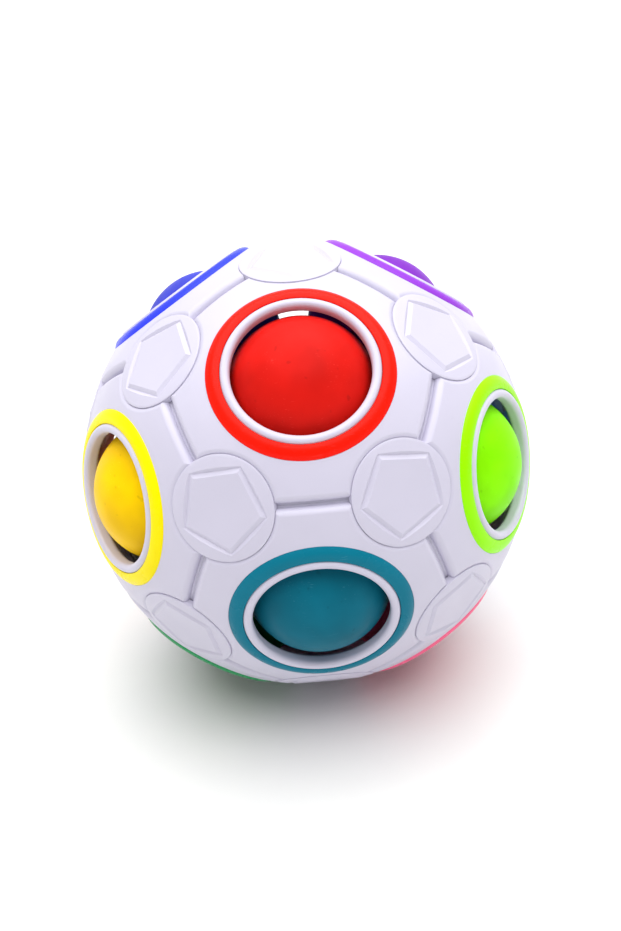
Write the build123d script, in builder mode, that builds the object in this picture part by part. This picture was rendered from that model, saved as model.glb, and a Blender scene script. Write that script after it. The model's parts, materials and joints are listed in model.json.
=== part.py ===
from build123d import *
import os
from itertools import combinations
from math import acos, atan, cos, degrees, radians, sin, sqrt

# Sliding-ball puzzle: a hollow sphere with twelve round holes, at the vertices of an icosahedron, and
# eleven balls that slide from hole to hole inside it. Millimetres, origin at the sphere's centre, +Z up
# through the cap opposite the one it stands on, +Y towards the back, where the empty hole is.

# Driving dimensions
SHELL_RADIUS = 35.0
SHELL_INNER_RADIUS = 33.2
SEAM_GAP = 0.04

HOLE_RADIUS = 9.75
THROAT_ROUND = 0.7
LIP_OUTER_RADIUS = 11.1
LIP_HEIGHT = 33.72
LIP_ROUND = 0.66

RING_OUTER_RADIUS = 13.12
RING_FLOOR = 31.9
RING_INNER_PROUD = 0.22
RING_CROWN_PROUD = 0.4
RING_OUTER_PROUD = 0.02
RING_EDGE_ROUND = 0.12
RING_FIT = 0.03

GROOVE_FLOOR_WIDTH = 0.7
GROOVE_SHOULDER = 1.1
GROOVE_DEPTH = 1.15

CAP_RADIUS = 7.5
CAP_EDGE_ROUND = 1.2
CAP_EDGE_WIDTH = 0.55
CAP_UNDERSIDE = 33.15
CAP_FIT = 0.04
SEAT_EDGE_ROUND = 1.2
SEAT_EDGE_WIDTH = 0.5
LUG_RADIUS = 6.4
LUG_BOTTOM = 31.7
SKIRT_INNER_RADIUS = 4.4
SKIRT_OUTER_RADIUS = 5.2
SKIRT_DEPTH = 0.7
STEM_RADIUS = 1.7
STEM_END = 30.7
BARB_RADIUS = 2.1
BARB_TOP = 31.6
BARB_HEIGHT = 0.35
STEM_SLOT = 0.6
PENTAGON_RADIUS = 6.4
PENTAGON_HEIGHT = 34.6
PENTAGON_LINE_WIDTH = 1.2
PENTAGON_LINE_DEPTH = 0.36

BALL_RADIUS = 10.9

CORE_RADIUS = 13.2
CORE_WALL = 2.5
CORE_VENT_RADIUS = 0.8

# Allowances: how far a cut and its rounded edge run past what they cut, and how far a panel is drawn past
# its corners, in degrees, before its sides are trimmed
OVERCUT = 1.0
ROUND_OVERRUN = 0.01
PANEL_OVERREACH = 3

# Icosahedral angles, in degrees
HOLE_SPACING = degrees(acos(1 / sqrt(5)))
CAP_ANGLE = degrees(acos(sqrt((5 + 2 * sqrt(5)) / 15)))
SIDES = 5

# Each hole is named by the colour of its ring. Holes lie in four tiers of three: elevation, then the
# azimuth of each from +X towards +Y.
UPPER_ELEVATION = 90 - CAP_ANGLE
MIDDLE_ELEVATION = HOLE_SPACING - UPPER_ELEVATION
HOLES = {
    "red": (UPPER_ELEVATION, 270),
    "purple": (UPPER_ELEVATION, 30),
    "blue": (UPPER_ELEVATION, 150),
    "grey": (MIDDLE_ELEVATION, 90),
    "yellow": (MIDDLE_ELEVATION, 210),
    "lime": (MIDDLE_ELEVATION, 330),
    "teal": (-MIDDLE_ELEVATION, 270),
    "sky": (-MIDDLE_ELEVATION, 30),
    "orange": (-MIDDLE_ELEVATION, 150),
    "magenta": (-UPPER_ELEVATION, 90),
    "green": (-UPPER_ELEVATION, 210),
    "pink": (-UPPER_ELEVATION, 330),
}
EMPTY_HOLE = "grey"

# Where the soft core holds each ball: the distance of its centre from the sphere's centre
BALL_CENTRES = {
    "red": 25.9,
    "purple": 24.6,
    "blue": 24.4,
    "yellow": 24.9,
    "lime": 24.85,
    "teal": 25.25,
    "sky": 24.8,
    "orange": 24.8,
    "magenta": 24.8,
    "green": 24.8,
    "pink": 24.8,
}

# A cap's pentagon points one corner at whichever of the three holes around it comes first in this list.
PENTAGON_ORDER = [
    "red",
    "green",
    "pink",
    "orange",
    "sky",
    "magenta",
    "blue",
    "purple",
    "yellow",
    "lime",
    "teal",
    "grey",
]


def direction(elevation, azimuth):
    """Unit vector at an elevation above XY and an azimuth from +X towards +Y, in degrees."""
    flat = cos(radians(elevation))
    return Vector(flat * cos(radians(azimuth)), flat * sin(radians(azimuth)), sin(radians(elevation)))


def radial_plane(outward, towards):
    """Plane at the sphere's centre facing outward, its x axis leaning towards another direction."""
    return Plane(origin=(0, 0, 0), x_dir=towards - outward * outward.dot(towards), z_dir=outward)


def on_sphere(radius, across):
    """Point of a profile, (distance from the axis, height), where a sphere has that distance."""
    return (across, sqrt(radius**2 - across**2))


def edge_round(wall, width, radius, surface):
    """Ends of an edge's arc: on a wall at a distance from the axis, and on a sphere a width away from it."""
    across = wall + width
    height = sqrt((surface - radius) ** 2 - across**2)
    outwards = surface / (surface - radius)
    return (wall, height + sqrt(radius**2 - width**2)), (across * outwards, height * outwards)


def export_copy(master, name, plane):
    """Place a copy of a finished piece on a plane and write it as a part of that name."""
    with BuildPart() as piece:
        with Locations(plane):
            add(master)
    piece.part.label = name
    export_step(piece.part, f"parts/{name}.step")


os.makedirs("parts", exist_ok=True)

# Directions within one panel: its hole points along +Z, and a cap lies at each of its five corners, the
# first of them over +X. Its sides run midway to the neighbouring holes.
side_azimuth = 180 / SIDES
side_middle = direction(90 - HOLE_SPACING / 2, side_azimuth)
side_inward = direction(HOLE_SPACING / 2, side_azimuth + 180)
corner_planes = [
    Plane(origin=(0, 0, 0), z_dir=direction(90 - CAP_ANGLE, corner * 360 / SIDES)) for corner in range(SIDES)
]
side_plane = Plane(origin=(0, 0, 0), x_dir=side_inward, z_dir=side_inward.cross(side_middle))

# Groove along one side of a panel: half of a channel with rounded shoulders, along a great circle
floor_half = GROOVE_FLOOR_WIDTH / 2
groove_floor = SHELL_RADIUS - GROOVE_DEPTH
cut_surface = SHELL_RADIUS + ROUND_OVERRUN
with BuildPart() as groove:
    with BuildSketch(side_plane):
        with BuildLine():
            shoulder = GROOVE_SHOULDER
            shoulder_start, shoulder_end = edge_round(floor_half, shoulder, shoulder, cut_surface)
            RadiusArc(shoulder_start, shoulder_end, shoulder)
            Polyline(
                shoulder_end,
                (shoulder_end[0], SHELL_RADIUS + OVERCUT),
                (-floor_half, SHELL_RADIUS + OVERCUT),
                (-floor_half, groove_floor),
                (floor_half, groove_floor),
                shoulder_start,
            )
        make_face()
    revolve(axis=Axis((0, 0, 0), side_inward))

# Lug under a cap: thickens the shell where three panels meet
with BuildPart() as lug:
    with BuildSketch(Plane.XY.offset(LUG_BOTTOM)):
        Circle(LUG_RADIUS)
    extrude(amount=CAP_UNDERSIDE - LUG_BOTTOM)

# Seat cut for a cap: recess with a rounded edge, groove for the cap's skirt and hole for its stem
with BuildPart() as cap_seat:
    with BuildSketch(Plane.XZ):
        with BuildLine():
            seat_radius = CAP_RADIUS + CAP_FIT
            round_start, round_end = edge_round(seat_radius, SEAT_EDGE_WIDTH, SEAT_EDGE_ROUND, cut_surface)
            RadiusArc(round_start, round_end, SEAT_EDGE_ROUND)
            Polyline(
                round_end,
                (round_end[0], SHELL_RADIUS + OVERCUT),
                (0, SHELL_RADIUS + OVERCUT),
                (0, CAP_UNDERSIDE),
                (seat_radius, CAP_UNDERSIDE),
                round_start,
            )
        make_face()
    revolve(axis=Axis.Z)
    with BuildSketch(Plane.XY.offset(CAP_UNDERSIDE)):
        Circle(SKIRT_OUTER_RADIUS + CAP_FIT)
        Circle(SKIRT_INNER_RADIUS - CAP_FIT, mode=Mode.SUBTRACT)
    extrude(amount=-SKIRT_DEPTH - CAP_FIT)
    with BuildSketch(Plane.XY.offset(LUG_BOTTOM - OVERCUT)):
        Circle(STEM_RADIUS + CAP_FIT)
    extrude(amount=CAP_UNDERSIDE - LUG_BOTTOM + OVERCUT)

# Panel: a five-cornered piece of the shell, with a hole, a raised lip and a recess for the ring
panel_reach = CAP_ANGLE + PANEL_OVERREACH
with BuildPart() as panel:
    with BuildSketch(Plane.XZ) as panel_profile:
        with BuildLine():
            outer_start = on_sphere(SHELL_RADIUS, RING_OUTER_RADIUS + RING_FIT)
            inner_start = on_sphere(SHELL_INNER_RADIUS, HOLE_RADIUS)
            outer_end = (SHELL_RADIUS * sin(radians(panel_reach)), SHELL_RADIUS * cos(radians(panel_reach)))
            inner_end = tuple(c * SHELL_INNER_RADIUS / SHELL_RADIUS for c in outer_end)
            RadiusArc(outer_start, outer_end, SHELL_RADIUS)
            Line(outer_end, inner_end)
            RadiusArc(inner_start, inner_end, SHELL_INNER_RADIUS)
            Polyline(
                inner_start,
                (HOLE_RADIUS, LIP_HEIGHT),
                (LIP_OUTER_RADIUS, LIP_HEIGHT),
                (LIP_OUTER_RADIUS, RING_FLOOR),
                (RING_OUTER_RADIUS + RING_FIT, RING_FLOOR),
                outer_start,
            )
        make_face()
        fillet(panel_profile.vertices().group_by(Axis.Y)[-1], LIP_ROUND)
        fillet(panel_profile.vertices().sort_by_distance(inner_start)[0], THROAT_ROUND)
    revolve(axis=Axis.Z)
    with Locations(*corner_planes):
        add(lug.part)
    for side in range(SIDES):
        inward = side_inward.rotate(Axis.Z, side * 360 / SIDES)
        split(bisect_by=Plane(origin=inward * (SEAM_GAP / 2), z_dir=inward), keep=Keep.TOP)
    with Locations(*corner_planes):
        add(cap_seat.part, mode=Mode.SUBTRACT)
    with PolarLocations(0, SIDES):
        add(groove.part, mode=Mode.SUBTRACT)

# Coloured ring around the lip: its domed crown stands proud of the shell
with BuildPart() as ring:
    with BuildSketch(Plane.XZ) as ring_profile:
        ring_inner_radius = LIP_OUTER_RADIUS + RING_FIT
        with BuildLine():
            inner_edge = on_sphere(SHELL_RADIUS + RING_INNER_PROUD, ring_inner_radius)
            outer_edge = on_sphere(SHELL_RADIUS + RING_OUTER_PROUD, RING_OUTER_RADIUS)
            ring_middle = (ring_inner_radius + RING_OUTER_RADIUS) / 2
            ring_crown = on_sphere(SHELL_RADIUS + RING_CROWN_PROUD, ring_middle)
            ThreePointArc(inner_edge, ring_crown, outer_edge)
            Polyline(
                outer_edge,
                (RING_OUTER_RADIUS, RING_FLOOR),
                (ring_inner_radius, RING_FLOOR),
                inner_edge,
            )
        make_face()
        fillet(ring_profile.vertices().sort_by_distance(inner_edge)[0], RING_EDGE_ROUND)
        fillet(ring_profile.vertices().sort_by_distance(outer_edge)[0], RING_EDGE_ROUND)
    revolve(axis=Axis.Z)

# Cap: domed disc with a flat pentagon inside a V-shaped line, a skirt that keys three lugs together and
# a slotted snap stem
pentagon_slope = degrees(atan(PENTAGON_LINE_WIDTH / 2 / PENTAGON_LINE_DEPTH))
with BuildPart() as cap:
    with BuildSketch(Plane.XZ):
        with BuildLine():
            rim, dome_edge = edge_round(CAP_RADIUS, -CAP_EDGE_WIDTH, CAP_EDGE_ROUND, SHELL_RADIUS)
            RadiusArc((0, SHELL_RADIUS), dome_edge, SHELL_RADIUS)
            RadiusArc(dome_edge, rim, CAP_EDGE_ROUND)
            Polyline(
                rim,
                (CAP_RADIUS, CAP_UNDERSIDE),
                (SKIRT_OUTER_RADIUS, CAP_UNDERSIDE),
                (SKIRT_OUTER_RADIUS, CAP_UNDERSIDE - SKIRT_DEPTH),
                (SKIRT_INNER_RADIUS, CAP_UNDERSIDE - SKIRT_DEPTH),
                (SKIRT_INNER_RADIUS, CAP_UNDERSIDE),
                (STEM_RADIUS, CAP_UNDERSIDE),
                (STEM_RADIUS, BARB_TOP),
                (BARB_RADIUS, BARB_TOP),
                (BARB_RADIUS, BARB_TOP - BARB_HEIGHT),
                (STEM_RADIUS, STEM_END),
                (0, STEM_END),
                (0, SHELL_RADIUS),
            )
        make_face()
    revolve(axis=Axis.Z)
    with BuildSketch(Plane.XY.offset(STEM_END)):
        Rectangle(STEM_SLOT, 2 * BARB_RADIUS)
    extrude(amount=BARB_TOP - STEM_END + BARB_HEIGHT, mode=Mode.SUBTRACT)
    with BuildSketch(Plane.XY.offset(PENTAGON_HEIGHT - PENTAGON_LINE_DEPTH)) as line_floor:
        RegularPolygon(radius=PENTAGON_RADIUS, side_count=SIDES)
    extrude(amount=PENTAGON_LINE_DEPTH + OVERCUT, taper=-pentagon_slope, mode=Mode.SUBTRACT)
    extrude(line_floor.sketch, amount=PENTAGON_LINE_DEPTH, taper=pentagon_slope)

# Ball
with BuildPart() as ball:
    Sphere(BALL_RADIUS, rotation=(90, 0, 0))

# Core: a loose hollow rubber ball, which gives way when a ball is pushed in, with a vent at the top
with BuildPart() as core:
    with BuildSketch(Plane.XZ):
        with BuildLine():
            core_inner_radius = CORE_RADIUS - CORE_WALL
            outer_vent = on_sphere(CORE_RADIUS, CORE_VENT_RADIUS)
            inner_vent = on_sphere(core_inner_radius, CORE_VENT_RADIUS)
            ThreePointArc(outer_vent, (CORE_RADIUS, 0), (0, -CORE_RADIUS))
            Line((0, -CORE_RADIUS), (0, -core_inner_radius))
            ThreePointArc((0, -core_inner_radius), (core_inner_radius, 0), inner_vent)
            Line(inner_vent, outer_vent)
        make_face()
    revolve(axis=Axis.Z)
core.part.label = "core"
export_step(core.part, "parts/core.step")

# A cap covers each corner where three neighbouring panels meet
outward = {hole: direction(*place) for hole, place in HOLES.items()}
panel_corner = {}
for trio in combinations(sorted(HOLES, key=PENTAGON_ORDER.index), 3):
    if all(outward[a].dot(outward[b]) > 0 for a, b in combinations(trio, 2)):
        cap_axis = sum((outward[hole] for hole in trio), Vector()).normalized()
        export_copy(cap.part, "cap_" + "_".join(trio), radial_plane(cap_axis, outward[trio[0]]))
        panel_corner.update({hole: cap_axis for hole in trio})

for hole, axis in outward.items():
    plane = radial_plane(axis, panel_corner[hole])
    export_copy(panel.part, f"panel_{hole}", plane)
    export_copy(ring.part, f"ring_{hole}", plane)
    if hole != EMPTY_HOLE:
        export_copy(ball.part, f"ball_{hole}", plane.offset(BALL_CENTRES[hole]))
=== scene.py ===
import json
import math

import bmesh
import bpy
from mathutils import Matrix, Vector


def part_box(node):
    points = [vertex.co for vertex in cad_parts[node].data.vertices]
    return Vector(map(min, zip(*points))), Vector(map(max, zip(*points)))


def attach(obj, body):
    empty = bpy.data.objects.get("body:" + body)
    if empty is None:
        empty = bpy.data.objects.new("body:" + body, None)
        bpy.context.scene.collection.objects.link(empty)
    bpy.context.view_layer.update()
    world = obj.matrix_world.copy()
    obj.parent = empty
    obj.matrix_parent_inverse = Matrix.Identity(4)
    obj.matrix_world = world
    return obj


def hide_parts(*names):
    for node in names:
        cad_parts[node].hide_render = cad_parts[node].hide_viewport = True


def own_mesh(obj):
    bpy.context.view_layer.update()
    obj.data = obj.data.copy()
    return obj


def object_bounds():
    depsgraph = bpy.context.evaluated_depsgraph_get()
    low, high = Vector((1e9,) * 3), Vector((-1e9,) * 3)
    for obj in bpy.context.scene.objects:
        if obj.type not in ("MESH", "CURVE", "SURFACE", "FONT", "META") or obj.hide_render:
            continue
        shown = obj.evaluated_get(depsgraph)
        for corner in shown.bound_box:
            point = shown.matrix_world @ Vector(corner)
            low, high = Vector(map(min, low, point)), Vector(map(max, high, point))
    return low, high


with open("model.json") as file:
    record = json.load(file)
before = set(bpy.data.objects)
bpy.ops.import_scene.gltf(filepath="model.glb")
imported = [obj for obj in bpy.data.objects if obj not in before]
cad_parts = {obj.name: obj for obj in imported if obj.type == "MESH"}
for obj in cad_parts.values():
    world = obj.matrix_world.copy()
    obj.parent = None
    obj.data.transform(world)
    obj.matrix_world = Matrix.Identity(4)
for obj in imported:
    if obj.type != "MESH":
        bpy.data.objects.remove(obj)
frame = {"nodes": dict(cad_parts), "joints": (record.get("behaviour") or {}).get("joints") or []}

MM = 0.001
RANGE_SOCKETS = ("From Min", "From Max", "To Min", "To Max")
# Faces that meet at more than this angle are shaded with a sharp edge
SHARP_ANGLE = math.radians(28)

# Camera
CAMERA_PLACE = Vector((-2.62, -175.42, 102.58)) * MM
CAMERA_TURN = math.radians(1.076)
CAMERA_DROP = math.radians(30.477)
CAMERA_ROLL = math.radians(-4.54)
CAMERA_LENS = 49.02
CAMERA_SENSOR = 36.0
CAMERA_NEAR = 5 * MM

# Light: a pale sky, dimmer on the camera's side, and a very broad overhead light from a little behind
SKY_FRONT = 0.30
SKY_BACK = 0.84
KEY_STRENGTH = 3.9
KEY_SPREAD = math.radians(82)
KEY_FROM = (0.05, 0.03, 1.0)

# Floor: a sheet of white paper, with slow shading and a fine tooth
FLOOR_REACH = 3.0
PAPER_DARK = (0.77, 0.77, 0.76)
PAPER_LIGHT = (0.80, 0.80, 0.78)
PAPER_CLOUD_SIZE = 20 * MM
PAPER_TOOTH_SIZE = 0.8 * MM
PAPER_ROUGHNESS = 0.45

# Plastic: sizes of its slow colour drift, worn patches, swells, moulded grain and patches of strokes
DRIFT_SIZE = 7 * MM
WEAR_SIZE = 4 * MM
SWELL_SIZE = 3.5 * MM
GRAIN_SIZE = 0.16 * MM
STROKE_PATCH_SIZE = 6 * MM
STROKE_STRETCH = (90, 5200, 5200)
STROKE_TURNS = ((0.3, 0.9, 0.2), (1.2, 0.1, 2.2))
PLASTIC_IOR = 1.50

# Roughness, specular level, colour mottle and speck size of each kind of plastic piece
SHELL_FINISH = (0.38, 0.45, 0.015, 0.9 * MM)
RING_FINISH = (0.28, 0.09, 0.04, 0.7 * MM)
BALL_FINISH = (0.42, 0.06, 0.15, 1.3 * MM)

# Core: the soft rubber ball is made of sectors, one behind each hole, and a sector whose ball presses gets
# a mesh of its own
CORE_WALL = 2.0 * MM
CORE_SUBDIVISIONS = 5
RUBBER_BLACK = (0.025, 0.025, 0.028)
RUBBER_BLOOM = 1.9
RUBBER_BLOOM_SIZE = 2.5 * MM
RUBBER_GRAIN_SIZE = 0.3 * MM

# Linear base colours of the moulded plastics
SHELL_WHITE = (0.600, 0.575, 0.703)
RING_COLOURS = {
    "red": (1.0, 0.010, 0.002),
    "purple": (0.28, 0.045, 0.60),
    "blue": (0.035, 0.055, 0.86),
    "grey": (0.40, 0.40, 0.43),
    "yellow": (1.0, 0.82, 0.0),
    "lime": (0.33, 0.96, 0.0),
    "teal": (0.003, 0.175, 0.265),
    "sky": (0.02, 0.36, 0.85),
    "orange": (0.96, 0.20, 0.003),
    "magenta": (0.72, 0.010, 0.30),
    "green": (0.02, 0.30, 0.10),
    "pink": (0.95, 0.14, 0.28),
}
BALL_COLOURS = {
    "red": (0.66, 0.010, 0.006),
    "purple": (0.22, 0.03, 0.50),
    "blue": (0.045, 0.055, 0.50),
    "yellow": (1.0, 0.60, 0.0),
    "lime": (0.27, 0.95, 0.0),
    "teal": (0.003, 0.135, 0.205),
    "sky": (0.02, 0.32, 0.80),
    "orange": (0.94, 0.17, 0.003),
    "magenta": (0.68, 0.010, 0.27),
    "green": (0.005, 0.21, 0.045),
    "pink": (0.93, 0.13, 0.26),
}


def smooth(obj):
    """Shades a mesh smoothly, except over its sharp edges."""
    obj.data.shade_smooth()
    obj.data.set_sharp_from_angle(angle=SHARP_ANGLE)


class Nodes:
    """A material's node tree, with a line for each kind of node it uses."""

    def __init__(self, name):
        self.material = bpy.data.materials.new(name)
        self.material.use_nodes = True
        self.tree = self.material.node_tree
        self.shader = self.tree.nodes["Principled BSDF"]
        self.place = self.add("ShaderNodeTexCoord").outputs["Object"]

    def add(self, kind, **settings):
        node = self.tree.nodes.new(kind)
        for key, value in settings.items():
            setattr(node, key, value)
        return node

    def link(self, source, target):
        self.tree.links.new(source, target)

    def stretched(self, scale, turn):
        """Object coordinates, scaled and turned."""
        node = self.add("ShaderNodeMapping")
        node.inputs["Scale"].default_value = scale
        node.inputs["Rotation"].default_value = turn
        self.link(self.place, node.inputs["Vector"])
        return node.outputs["Vector"]

    def noise(self, size, detail, vector=None):
        """Noise with features of about a size, in metres, or in the units of a mapped vector."""
        node = self.add("ShaderNodeTexNoise")
        node.inputs["Scale"].default_value = 1 / size
        node.inputs["Detail"].default_value = detail
        self.link(vector or self.place, node.inputs["Vector"])
        return node.outputs["Fac"]

    def spread(self, value, low, high, to_low=0.0, to_high=1.0):
        """A value's range stretched over another range, and cut off there."""
        node = self.add("ShaderNodeMapRange")
        for key, number in zip(RANGE_SOCKETS, (low, high, to_low, to_high)):
            node.inputs[key].default_value = number
        self.link(value, node.inputs["Value"])
        return node.outputs["Result"]

    def maths(self, operation, a, b):
        node = self.add("ShaderNodeMath", operation=operation)
        for socket, value in zip(node.inputs, (a, b)):
            if isinstance(value, (int, float)):
                socket.default_value = value
            else:
                self.link(value, socket)
        return node.outputs["Value"]

    def mix(self, factor, a, b):
        """Mix of two colours, each a colour or a socket."""
        node = self.add("ShaderNodeMix", data_type="RGBA")
        self.link(factor, node.inputs["Factor"])
        for socket, value in ((node.inputs[6], a), (node.inputs[7], b)):
            if isinstance(value, tuple):
                socket.default_value = (*value, 1.0)
            else:
                self.link(value, socket)
        return node.outputs[2]

    def bump(self, height, distance, strength, before=None):
        node = self.add("ShaderNodeBump")
        node.inputs["Strength"].default_value = strength
        node.inputs["Distance"].default_value = distance
        self.link(height, node.inputs["Height"])
        if before is not None:
            self.link(before, node.inputs["Normal"])
        return node.outputs["Normal"]

    def scratches(self, turn):
        """Thin sparse strokes: noise stretched along one direction, kept only where it peaks."""
        lines = self.noise(1.0, 1.0, self.stretched(STROKE_STRETCH, turn))
        patches = self.noise(STROKE_PATCH_SIZE, 1.0)
        return self.maths("MULTIPLY", self.spread(lines, 0.70, 0.78), self.spread(patches, 0.48, 0.62))


def scaled(colour, factor):
    """A colour made darker or lighter, up to white."""
    return tuple(min(1.0, c * factor) for c in colour)


def plastic(name, colour, finish, scratch_shade=1.25):
    """Moulded plastic: slow colour drift, small scuffs and strokes, and a fine moulded grain."""
    roughness, gloss, mottle, speck_size = finish
    n = Nodes(name)
    drift = n.spread(n.noise(DRIFT_SIZE, 2.0), 0.32, 0.68)
    shade = n.mix(drift, scaled(colour, 1 - mottle), scaled(colour, 1 + mottle / 2))
    specks = n.spread(n.noise(speck_size, 1.0), 0.70, 0.78)
    shade = n.mix(n.maths("MULTIPLY", specks, 0.5), shade, scaled(colour, 1 - 2.5 * mottle))
    strokes = n.maths("MAXIMUM", *(n.scratches(turn) for turn in STROKE_TURNS))
    lighter = tuple(min(1.0, c * scratch_shade + 0.05) for c in colour)
    shade = n.mix(n.maths("MULTIPLY", strokes, 0.5), shade, lighter)
    n.link(shade, n.shader.inputs["Base Color"])
    wear = n.spread(n.noise(WEAR_SIZE, 4.0), 0.35, 0.70, roughness - 0.05, roughness + 0.08)
    wear = n.maths("ADD", wear, n.maths("MULTIPLY", strokes, 0.15))
    n.link(wear, n.shader.inputs["Roughness"])
    grain = n.bump(n.noise(GRAIN_SIZE, 2.0), 0.000004, 0.6)
    swell = n.bump(n.noise(SWELL_SIZE, 1.0), 0.00002, 0.5, grain)
    scored = n.bump(n.maths("SUBTRACT", 1.0, strokes), 0.000006, 0.6, swell)
    n.link(scored, n.shader.inputs["Normal"])
    n.shader.inputs["IOR"].default_value = PLASTIC_IOR
    n.shader.inputs["Specular IOR Level"].default_value = gloss
    return n.material


def rubber(name, colour):
    """Soft moulded rubber with a dusty bloom."""
    n = Nodes(name)
    bloom = n.spread(n.noise(RUBBER_BLOOM_SIZE, 5.0), 0.40, 0.72)
    n.link(n.mix(bloom, colour, scaled(colour, RUBBER_BLOOM)), n.shader.inputs["Base Color"])
    n.link(n.spread(bloom, 0.0, 1.0, 0.62, 0.80), n.shader.inputs["Roughness"])
    n.link(n.bump(n.noise(RUBBER_GRAIN_SIZE, 3.0), 0.00002, 0.7), n.shader.inputs["Normal"])
    return n.material


def dress(obj, material):
    """Gives a piece its one material, its shading and, for a new piece, its slot."""
    obj.data.materials.clear()
    obj.data.materials.append(material)
    smooth(obj)


cad_low, cad_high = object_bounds()

# Camera
facing = Vector(
    (
        math.sin(CAMERA_TURN) * math.cos(CAMERA_DROP),
        math.cos(CAMERA_TURN) * math.cos(CAMERA_DROP),
        -math.sin(CAMERA_DROP),
    )
)
level = facing.cross(Vector((0, 0, 1))).normalized()
upright = level.cross(facing)
right = level * math.cos(CAMERA_ROLL) + upright * math.sin(CAMERA_ROLL)
up = upright * math.cos(CAMERA_ROLL) - level * math.sin(CAMERA_ROLL)
camera = bpy.data.objects.new("camera", bpy.data.cameras.new("camera"))
camera.data.lens = CAMERA_LENS
camera.data.sensor_width = CAMERA_SENSOR
camera.data.clip_start = CAMERA_NEAR
camera.matrix_world = Matrix.Translation(CAMERA_PLACE) @ Matrix((right, up, -facing)).transposed().to_4x4()
bpy.context.scene.collection.objects.link(camera)
bpy.context.scene.camera = camera

# Floor
floor_mesh = bpy.data.meshes.new("floor")
floor_mesh.from_pydata(
    [(x * FLOOR_REACH, y * FLOOR_REACH, cad_low.z) for x, y in ((-1, -1), (1, -1), (1, 1), (-1, 1))],
    [],
    [(0, 1, 2, 3)],
)
floor = bpy.data.objects.new("floor", floor_mesh)
bpy.context.scene.collection.objects.link(floor)
paper = Nodes("floor_paper")
paper.link(
    paper.mix(paper.spread(paper.noise(PAPER_CLOUD_SIZE, 4.0), 0.3, 0.7), PAPER_DARK, PAPER_LIGHT),
    paper.shader.inputs["Base Color"],
)
paper.link(paper.bump(paper.noise(PAPER_TOOTH_SIZE, 3.0), 0.00001, 0.3), paper.shader.inputs["Normal"])
paper.shader.inputs["Roughness"].default_value = PAPER_ROUGHNESS
floor_mesh.materials.append(paper.material)

# Light
world = bpy.data.worlds.new("studio")
bpy.context.scene.world = world
world.use_nodes = True
sky = world.node_tree
toward = sky.nodes.new("ShaderNodeSeparateXYZ")
sky.links.new(sky.nodes.new("ShaderNodeTexCoord").outputs["Generated"], toward.inputs["Vector"])
fall = sky.nodes.new("ShaderNodeMapRange")
for socket, number in zip(RANGE_SOCKETS, (-1.0, 1.0, SKY_FRONT, SKY_BACK)):
    fall.inputs[socket].default_value = number
sky.links.new(toward.outputs["Y"], fall.inputs["Value"])
sky.links.new(fall.outputs["Result"], sky.nodes["Background"].inputs["Strength"])
sky.nodes["Background"].inputs["Color"].default_value = (1.0, 1.0, 1.0, 1.0)
key = bpy.data.lights.new("overhead", "SUN")
key.energy = KEY_STRENGTH
key.angle = KEY_SPREAD
key_lamp = bpy.data.objects.new("overhead", key)
key_lamp.rotation_mode = "QUATERNION"
key_lamp.rotation_quaternion = Vector(KEY_FROM).to_track_quat("Z", "Y")
bpy.context.scene.collection.objects.link(key_lamp)
bpy.context.scene.view_settings.view_transform = "Standard"
bpy.context.scene.view_settings.look = "None"

# Materials of the CAD pieces
shell_white = plastic("shell_white", SHELL_WHITE, SHELL_FINISH, scratch_shade=0.9)
for node, obj in frame["nodes"].items():
    kind, _, colour = node.partition("_")
    if kind in ("panel", "cap"):
        dress(obj, shell_white)
    elif kind == "ring":
        dress(obj, plastic(node, RING_COLOURS[colour], RING_FINISH))
    elif kind == "ball":
        dress(obj, plastic(node, BALL_COLOURS[colour], BALL_FINISH))

# Core sectors: the faces of one sphere, each in the sector of the hole that it is nearest to
rings = [node for node in frame["nodes"] if node.startswith("ring_")]
hole_axes = {ring.removeprefix("ring_"): sum(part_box(ring), Vector()).normalized() for ring in rings}
core_low, core_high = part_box("core")
core_radius = (core_high.x - core_low.x) / 2
black_rubber = rubber("core_rubber", RUBBER_BLACK)
joint_of = {joint["child"]: joint["name"] for joint in frame["joints"]}


def nearest_hole(point):
    return max(hole_axes, key=lambda hole: hole_axes[hole].dot(point))


for hole, axis in hole_axes.items():
    shape = bmesh.new()
    bmesh.ops.create_icosphere(shape, subdivisions=CORE_SUBDIVISIONS, radius=core_radius)
    away = [face for face in shape.faces if nearest_hole(face.calc_center_median()) != hole]
    bmesh.ops.delete(shape, geom=away, context="FACES")
    bmesh.ops.solidify(shape, geom=shape.faces[:], thickness=CORE_WALL)
    mesh = bpy.data.meshes.new(f"core_sector_{hole}")
    shape.to_mesh(mesh)
    shape.free()
    sector = bpy.data.objects.new(f"core_sector_{hole}", mesh)
    bpy.context.scene.collection.objects.link(sector)
    dress(sector, black_rubber)
    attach(sector, "core")
    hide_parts("core")
    joint = joint_of.get(f"{hole}_ball", "")
    if joint.endswith("_press"):
        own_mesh(sector)
